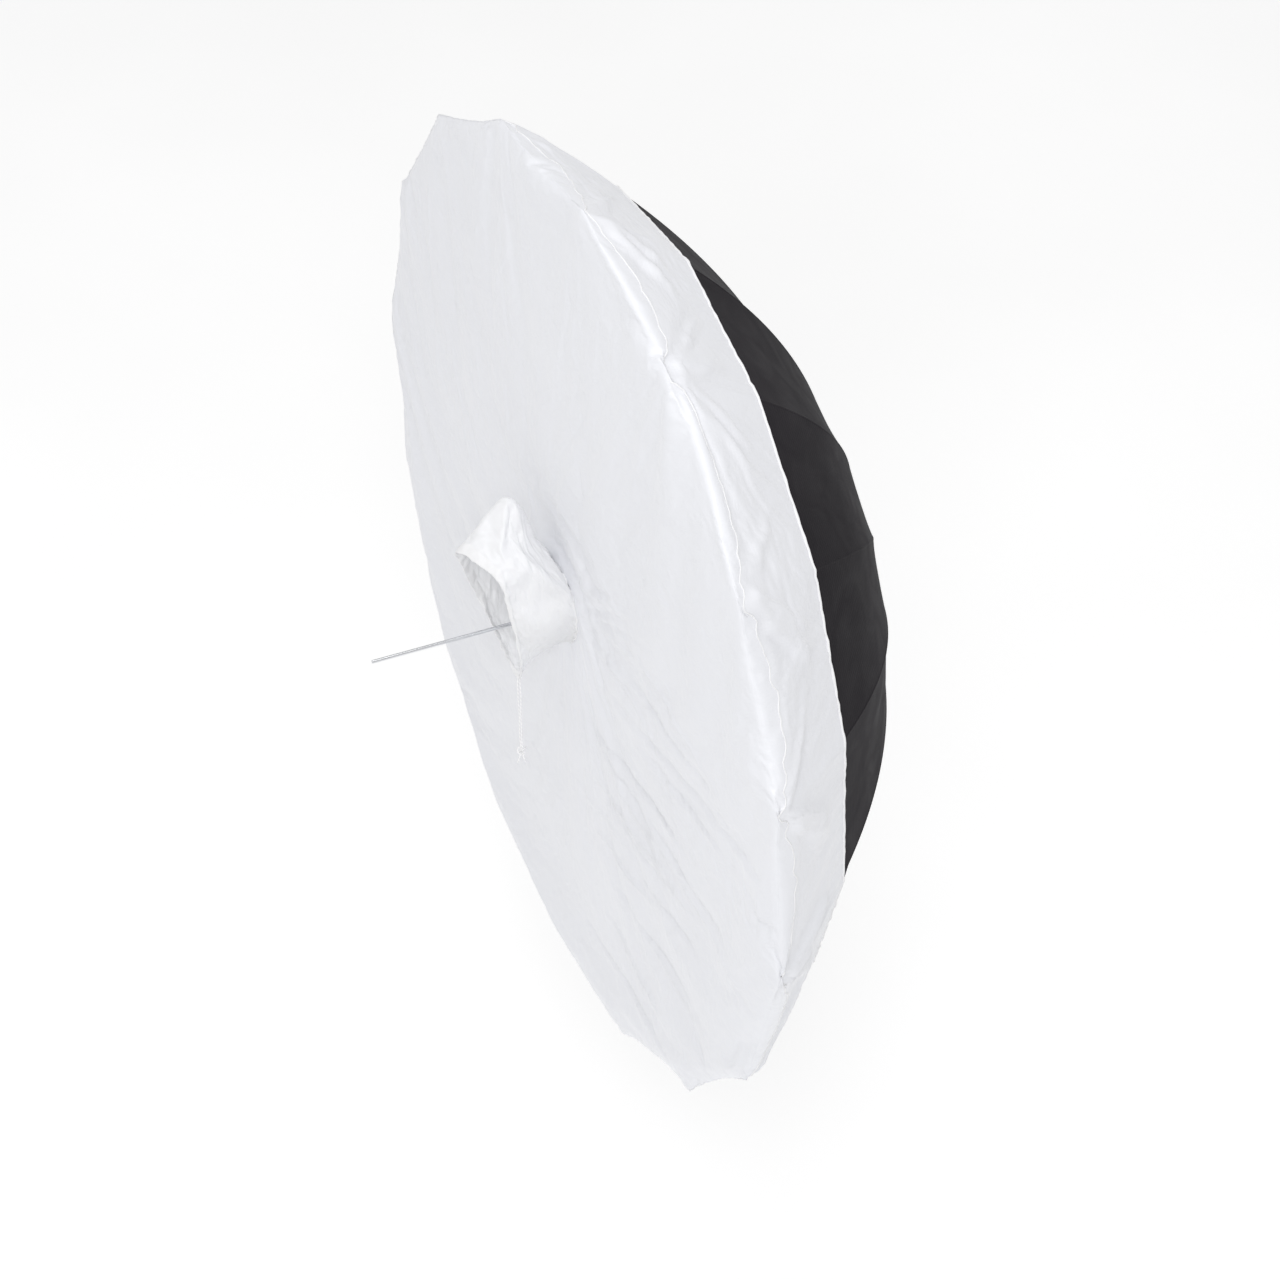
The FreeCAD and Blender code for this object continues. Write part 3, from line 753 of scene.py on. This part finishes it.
# (x, forward of the rim plane, z) of each ring in millimetres at 0, 45, 90 ... 315 degrees
SLEEVE_RINGS = (
    (
        (80, 30, 38), (56, 34, 122), (-42, 40, 180), (-98, 36, 134),
        (-98, 30, 50), (-62, 30, -40), (0, 30, -70), (54, 30, -32),
    ),
    (
        (74, 75, 52), (20, 85, 205), (-80, 90, 266), (-118, 90, 186),
        (-112, 85, 68), (-58, 78, -60), (6, 72, -92), (49, 72, -36),
    ),
    (
        (62, 115, 60), (30, 125, 190), (-75, 150, 235), (-104, 142, 165),
        (-95, 130, 50), (-48, 112, -88), (7, 98, -118), (42, 105, -44),
    ),
    (
        (50, 148, 67), (40, 169, 164), (-60, 218, 180), (-72, 200, 110),
        (-70, 165, 12), (-42, 135, -90), (6, 116, -151), (44, 126, -66),
    ),
)
SLEEVE_SPLITS = np.array([0.0, 0.16, 0.45, 0.73, 1.0])
HEM_ROWS = 4


def smooth_between(knots, values, wanted):
    """A smooth curve through values at the knots, read at the wanted places."""
    slopes = np.gradient(values, knots, axis=0)
    spot = np.clip(np.searchsorted(knots, wanted, side="right") - 1, 0, len(knots) - 2)
    gap = (knots[spot + 1] - knots[spot])[:, None]
    t = ((wanted - knots[spot]) / gap[:, 0])[:, None]
    return (
        (2 * t**3 - 3 * t**2 + 1) * values[spot]
        + (t**3 - 2 * t**2 + t) * gap * slopes[spot]
        + (3 * t**2 - 2 * t**3) * values[spot + 1]
        + (t**3 - t**2) * gap * slopes[spot + 1]
    )


def sleeve_grid():
    """Points of the sleeve's wall, ring by ring from the cover to the mouth."""
    angles = np.arange(AROUND) * 2 * math.pi / AROUND
    base = [at(HOLE * polygon_share(a) + 0.001, COVER_FRONT - 0.001, a) for a in angles]
    rings = [np.array(base) + (0, 0, HOLE_RISE)]
    corners = np.arange(-2, 11) * math.pi / 4
    for table in SLEEVE_RINGS:
        table = np.array(table) / 1000
        placed = np.column_stack((table[:, 0], RIM_Y - table[:, 1], table[:, 2]))
        rings.append(smooth_between(corners, placed[np.arange(-2, 11) % 8], angles))
    rings = np.array(rings)
    rows = np.linspace(0, 1, ALONG)
    grid = np.empty((ALONG, AROUND, 3))
    for k in range(AROUND):
        grid[:, k] = smooth_between(SLEEVE_SPLITS, rings[:, k], rows)
    return grid


def grid_faces(rows, around):
    """Faces between closed rows of points."""
    faces = []
    for i in range(rows - 1):
        for k in range(around):
            n = (k + 1) % around
            a, b = i * around, (i + 1) * around
            faces.append((a + k, a + n, b + n, b + k))
    return faces


def make_sleeve(white, white_trim):
    """The sleeve's wall, settled as cloth, with its hem and the seam at its foot."""
    grid = sleeve_grid()
    random = np.random.default_rng(23)
    flat = grid.reshape(-1, 3) + random.normal(0, 0.0012, (ALONG * AROUND, 3))
    sleeve = new_piece("diffuser_sleeve_wall", flat, grid_faces(ALONG, AROUND))
    last = (ALONG - 1) * AROUND
    held = list(range(AROUND)) + list(range(last, last + AROUND))
    apex = Vector((-0.080, RIM_Y - 0.090, 0.268))
    top = [i for i, p in enumerate(flat) if (Vector(p) - apex).length < 0.022]
    run_cloth(sleeve, SLEEVE_FRAMES, [(1.0, held), (1.0, top)], stretch=0.05, gravity=0.8,
              bending=0.02, mass=0.01, colliding=False)
    points = points_of(sleeve).reshape(ALONG, AROUND, 3)
    normals = np.empty(ALONG * AROUND * 3)
    sleeve.data.vertex_normals.foreach_get("vector", normals)
    normals = normals.reshape(ALONG, AROUND, 3)
    hem = sleeve_hem(points, normals)
    for piece in (sleeve, hem):
        finer = piece.modifiers.new("finer", "SUBSURF")
        finer.levels = finer.render_levels = 1
        apply_modifiers(piece)
    base = tube("diffuser_sleeve_seam", points[0], 0.0022, 8)
    sleeve.data.materials.append(white)
    hem.data.materials.append(white_trim)
    base.data.materials.append(white_trim)
    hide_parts("diffuser_sleeve")
    for piece in (sleeve, hem, base):
        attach(piece, "cover")


def sleeve_hem(points, normals):
    """The double-layer strip round the mouth that the drawstring runs in."""
    layers = []
    for row in range(ALONG - HEM_ROWS, ALONG):
        swell = 0.0022 if row in (ALONG - 2, ALONG - 3) else 0.0008
        layers.append(points[row] + normals[row] * swell)
    ahead = points[-1] - points[-2]
    ahead /= np.linalg.norm(ahead, axis=1)[:, None]
    layers.append(points[-1] + ahead * 0.0015)
    for row in range(ALONG - 1, ALONG - HEM_ROWS - 1, -1):
        swell = 0.0022 if row in (ALONG - 2, ALONG - 3) else 0.0008
        layers.append(points[row] - normals[row] * swell)
    grid = np.array(layers)
    return new_piece("diffuser_sleeve_hem", grid.reshape(-1, 3), grid_faces(len(grid), AROUND))


# ---------------------------------------------------------------- drawstring

STRAND_A = (
    (-4.0, 212.0, -155.6),
    (-5.6, 211.0, -205.0),
    (-4.2, 212.8, -256.0),
    (-5.0, 212.0, -308.0),
    (-3.2, 212.6, -358.0),
)
STRAND_B = (
    (4.0, 213.0, -155.6),
    (6.2, 214.2, -204.0),
    (4.6, 212.6, -255.0),
    (5.2, 213.8, -307.0),
    (3.2, 213.4, -358.0),
)
STRAND_DIAMETER = 0.0035
KNOT = Vector((0.0, 0.213, -0.367))


def make_strand(name, route, node, cord_white):
    """One strand of the drawstring, from the sleeve's mouth down to the knot."""
    curve = bpy.data.curves.new(name, "CURVE")
    curve.dimensions = "3D"
    spline = curve.splines.new("NURBS")
    spline.points.add(len(route) - 1)
    for point, place in zip(spline.points, route):
        point.co = (*(c / 1000 for c in place), 1)
    spline.order_u = 3
    spline.use_endpoint_u = True
    spline.resolution_u = 12
    curve.bevel_depth = STRAND_DIAMETER / 2
    curve.bevel_resolution = 3
    curve.use_fill_caps = True
    strand = bpy.data.objects.new(name, curve)
    bpy.context.scene.collection.objects.link(strand)
    curve.materials.append(cord_white)
    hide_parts(node)
    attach(strand, "cover")


def make_knot(cord_white):
    """An overhand knot that ties both strands, with their two ends below it."""
    scale = 0.0036
    loop = []
    for i in range(72):
        t = 2 * math.pi * i / 72
        x = math.sin(t) + 2 * math.sin(2 * t)
        z = math.cos(t) - 2 * math.cos(2 * t)
        loop.append(KNOT + Vector((-1.3 * math.sin(3 * t), x, z)) * scale)
    parts = [tube("knot_loop", loop, STRAND_DIAMETER / 2, 10)]
    for side in (-1, 1):
        line = []
        for i in range(9):
            t = i / 8
            spread = side * (0.002 + 0.006 * t**1.5)
            line.append(KNOT + Vector((0.5 * spread, spread, -0.004 - 0.030 * t)))
        parts.append(tube("knot_tail", line, STRAND_DIAMETER / 2, 10, closed=False))
    knot = join("diffuser_knot", parts)
    knot.data.materials.append(cord_white)
    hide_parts("drawstring_knot")
    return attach(knot, "cover")


def join(name, parts):
    """One piece out of several."""
    points, faces = [], []
    for part in parts:
        start = len(points)
        points += [tuple(v.co) for v in part.data.vertices]
        faces += [tuple(start + v for v in p.vertices) for p in part.data.polygons]
        bpy.data.objects.remove(part)
    return new_piece(name, points, faces)


# ---------------------------------------------------------------- canopy

PANEL_ACROSS = 12  # columns on each side of the rib
PANEL_ALONG = 56
LINING = 0.0007
SAG = 0.020  # inward sag at mid-gore, as a share of the gore's width
SEAM_HALF = 0.0035  # the felled seam that follows each rib
SEAM_PROUD = 0.0004


def canopy_point(radius, off, rib, lift=0.0):
    """On the canopy's face, off radians from this rib, between flat chords and an inward sag."""
    taut = 1 - (1 - abs(off) / HALF) ** 2
    radius -= edge_cut(radius, taut)
    r, s = meridian(radius)
    share = math.cos(HALF) / math.cos(HALF - abs(off))
    slope = -DEPTH * POWER / RADIUS * (radius / RADIUS) ** (POWER - 1)
    length = math.hypot(1, slope)
    under_band = min(max((radius - 0.70) / 0.17, 0), 1)
    amount = SAG * (1 - 0.8 * under_band) * 2 * radius * math.sin(HALF) * taut
    angle = rib + off
    ripple = 0.0011 * math.sin(9 * radius / RADIUS * math.pi + 3 * math.sin(5 * angle)) * taut
    out = lift - amount + ripple * (1 - under_band)
    return at(r * share - out * slope / length, s + out / length, angle)


def panel_radii():
    """Radii from the crown to the rim, evenly spaced along the rib."""
    even = np.linspace(CANOPY_HOLE, CANOPY_EDGE, 400)
    behind = np.array([meridian(r)[1] for r in even])
    arc = np.concatenate(([0], np.cumsum(np.hypot(np.diff(even), np.diff(behind)))))
    return np.interp(np.linspace(0, arc[-1], PANEL_ALONG + 1), arc, even)


def panel_row(radius):
    """(angle from the rib, height) of each column, with the seam's strip in the middle."""
    strip = min(SEAM_HALF / radius, 0.35 * HALF)
    right = [(0.0, SEAM_PROUD), (0.85 * strip, SEAM_PROUD), (strip, 0.0)]
    right += [(strip + (HALF - strip) * i / PANEL_ACROSS, 0.0) for i in range(1, PANEL_ACROSS + 1)]
    return [(-off, proud) for off, proud in reversed(right[1:])] + right


def panel_mesh(rib, radii):
    """Points, faces, each face's material (0 outside, 1 lining), and the sharp lines' vertices."""
    rows = [panel_row(r) for r in radii]
    wide = len(rows[0])
    layer = wide * len(radii)
    spots = [(r, off, proud) for r, row in zip(radii, rows) for off, proud in row]
    points = [canopy_point(r, off, rib, proud) for r, off, proud in spots]
    points += [canopy_point(r, off, rib, -LINING) for r, off, _ in spots]
    faces, kinds = [], []
    for i in range(len(radii) - 1):
        for j in range(wide - 1):
            a = i * wide + j
            faces.append((a, a + wide, a + wide + 1, a + 1))
            faces.append((layer + a, layer + a + 1, layer + a + wide + 1, layer + a + wide))
            kinds += [0, 1]
    last = (len(radii) - 1) * wide
    border = list(range(wide))
    border += [i * wide + wide - 1 for i in range(1, len(radii))]
    border += [last + j for j in range(wide - 2, -1, -1)]
    border += [i * wide for i in range(len(radii) - 2, 0, -1)]
    for a, b in zip(border, border[1:] + border[:1]):
        faces.append((a, b, layer + b, layer + a))
        kinds.append(0)
    middle = wide // 2
    lines = [set(border), {layer + v for v in border}]
    for column in (middle - 2, middle + 2):
        lines.append({i * wide + column for i in range(len(radii))})
    return points, faces, kinds, lines


def make_canopy(black, lining):
    """Sixteen gores, each on its rib."""
    radii = panel_radii()
    for k in range(RIBS):
        number = f"{k + 1:02d}"
        rib = FIRST_RIB + STEP * k
        points, faces, kinds, lines = panel_mesh(rib, radii)
        panel = new_piece(f"canopy_panel_{number}", points, faces)
        panel.data.materials.append(black)
        panel.data.materials.append(lining)
        panel.data.polygons.foreach_set("material_index", kinds)
        for line in lines:
            sharpen(panel, line)
        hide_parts(f"canopy_gore_{number}")
        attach(panel, f"rib_arm_{number}")
        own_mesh(panel)


def sharpen(piece, line):
    """A crisp crease along this line of vertices."""
    for edge in piece.data.edges:
        if edge.vertices[0] in line and edge.vertices[1] in line:
            edge.use_edge_sharp = True


# ---------------------------------------------------------------- CAD pieces' finishes


def finish_cad_nodes():
    """Materials for the pieces that are shown as CAD made them."""
    chrome = metal("shaft_chrome", (0.66, 0.67, 0.69), (0.74, 0.75, 0.77), (0.14, 0.20),
                   strength=0.01)
    steel = metal("steel_wire", (0.5, 0.51, 0.53), (0.62, 0.63, 0.65), (0.25, 0.38), (1, 1, 1))
    plated = metal("stretcher_steel", (0.60, 0.61, 0.63), (0.72, 0.73, 0.75), (0.2, 0.32),
                   (8, 8, 8))
    plastic = moulded("hub_plastic", (0.018, 0.018, 0.019), (0.03, 0.03, 0.031))
    cap = moulded("crown_cap_plastic", (0.022, 0.022, 0.024), (0.036, 0.036, 0.038), (0.3, 0.42))
    fibre = glass_fibre()
    for name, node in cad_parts.items():
        if name.startswith("rib_"):
            finish = fibre
        elif name.startswith("stretcher_"):
            finish = plated
        else:
            finish = {
                "shaft": chrome,
                "shaft_catch": steel,
                "crown_wire": steel,
                "crown_cap": cap,
                "crown": plastic,
                "runner": plastic,
            }.get(name)
        if finish is not None:
            node.data.materials.clear()
            node.data.materials.append(finish)


# ---------------------------------------------------------------- camera, light and floor

CAMERA = Vector((4.536, RIM_Y - 1.7934, 4.0645))
CAMERA_AZIMUTH = math.radians(66.61)
CAMERA_ELEVATION = math.radians(40.42)
LENS = 84.375
FLOOR = -2.2
FLOOR_HALF = 40


def make_camera():
    """The camera, above and in front on the object's right."""
    data = bpy.data.cameras.new("camera")
    data.lens = LENS
    data.sensor_width = 36
    data.clip_end = 200
    camera = bpy.data.objects.new("camera", data)
    camera.location = CAMERA
    camera.rotation_euler = (math.pi / 2 - CAMERA_ELEVATION, 0, CAMERA_AZIMUTH)
    bpy.context.scene.collection.objects.link(camera)
    bpy.context.scene.camera = camera


def area_light(name, place, target, size, power):
    """A round soft light that the camera doesn't see."""
    data = bpy.data.lights.new(name, "AREA")
    data.shape = "DISK"
    data.size = size
    data.energy = power
    lamp = bpy.data.objects.new(name, data)
    lamp.location = place
    lamp.visible_camera = False
    lamp.rotation_euler = (Vector(target) - Vector(place)).to_track_quat("-Z", "Y").to_euler()
    bpy.context.scene.collection.objects.link(lamp)


def make_studio():
    """White surroundings, two soft lights and a pale floor."""
    scene = bpy.context.scene
    world = bpy.data.worlds.new("studio")
    world.use_nodes = True
    background = world.node_tree.nodes["Background"]
    background.inputs["Color"].default_value = (1.0, 1.0, 1.0, 1)
    background.inputs["Strength"].default_value = 0.68
    scene.world = world
    scene.view_settings.view_transform = "Standard"
    centre = (0, RIM_Y + 0.1, 0)
    area_light("key", (4.0, RIM_Y - 1.8, 3.7), centre, 1.6, 86)
    area_light("overhead", (0.5, RIM_Y - 0.3, 4.5), centre, 2.0, 40)
    n = Nodes("floor_paint")
    n.shader.inputs["Emission Color"].default_value = (1, 1, 1, 1)
    paint = n.finish(
        n.ramp(n.noise(0.5), (0.9, 0.9, 0.9), (0.94, 0.94, 0.94)),
        n.span(n.noise(3.0), 0.85, 0.95),
        Emission_Strength=0.28,
        Specular_IOR_Level=0.1,
    )
    signs = ((-1, -1), (1, -1), (1, 1), (-1, 1))
    corners = [(x * FLOOR_HALF, y * FLOOR_HALF, FLOOR) for x, y in signs]
    floor = new_piece("floor", corners, [(0, 1, 2, 3)])
    floor.data.materials.append(paint)


# ---------------------------------------------------------------- build

cloth_white = satin_white("diffuser_white", (0.785, 0.793, 0.828), (0.805, 0.813, 0.848))
band_white = satin_white("diffuser_band_white", (0.765, 0.772, 0.805), (0.79, 0.797, 0.83),
                         crease=0.7)
sleeve_white = satin_white("diffuser_sleeve_white", (0.92, 0.925, 0.94), (0.95, 0.95, 0.96),
                           crease=0.35, through=0.25)
trim_white = satin_white("diffuser_trim_white", (0.93, 0.93, 0.94), (0.96, 0.96, 0.965),
                         crease=0.2, through=0.15)
string_white = twisted_cord()
canopy_black = black_nylon()
make_cover_pieces(cloth_white, band_white, trim_white)
make_sleeve(sleeve_white, trim_white)
tied = make_knot(string_white)
make_strand("drawstring_strand_a", STRAND_A, "drawstring_a", string_white)
make_strand("drawstring_strand_b", STRAND_B, "drawstring_b", string_white)
make_canopy(canopy_black, silver_lining())
finish_cad_nodes()
make_camera()
make_studio()
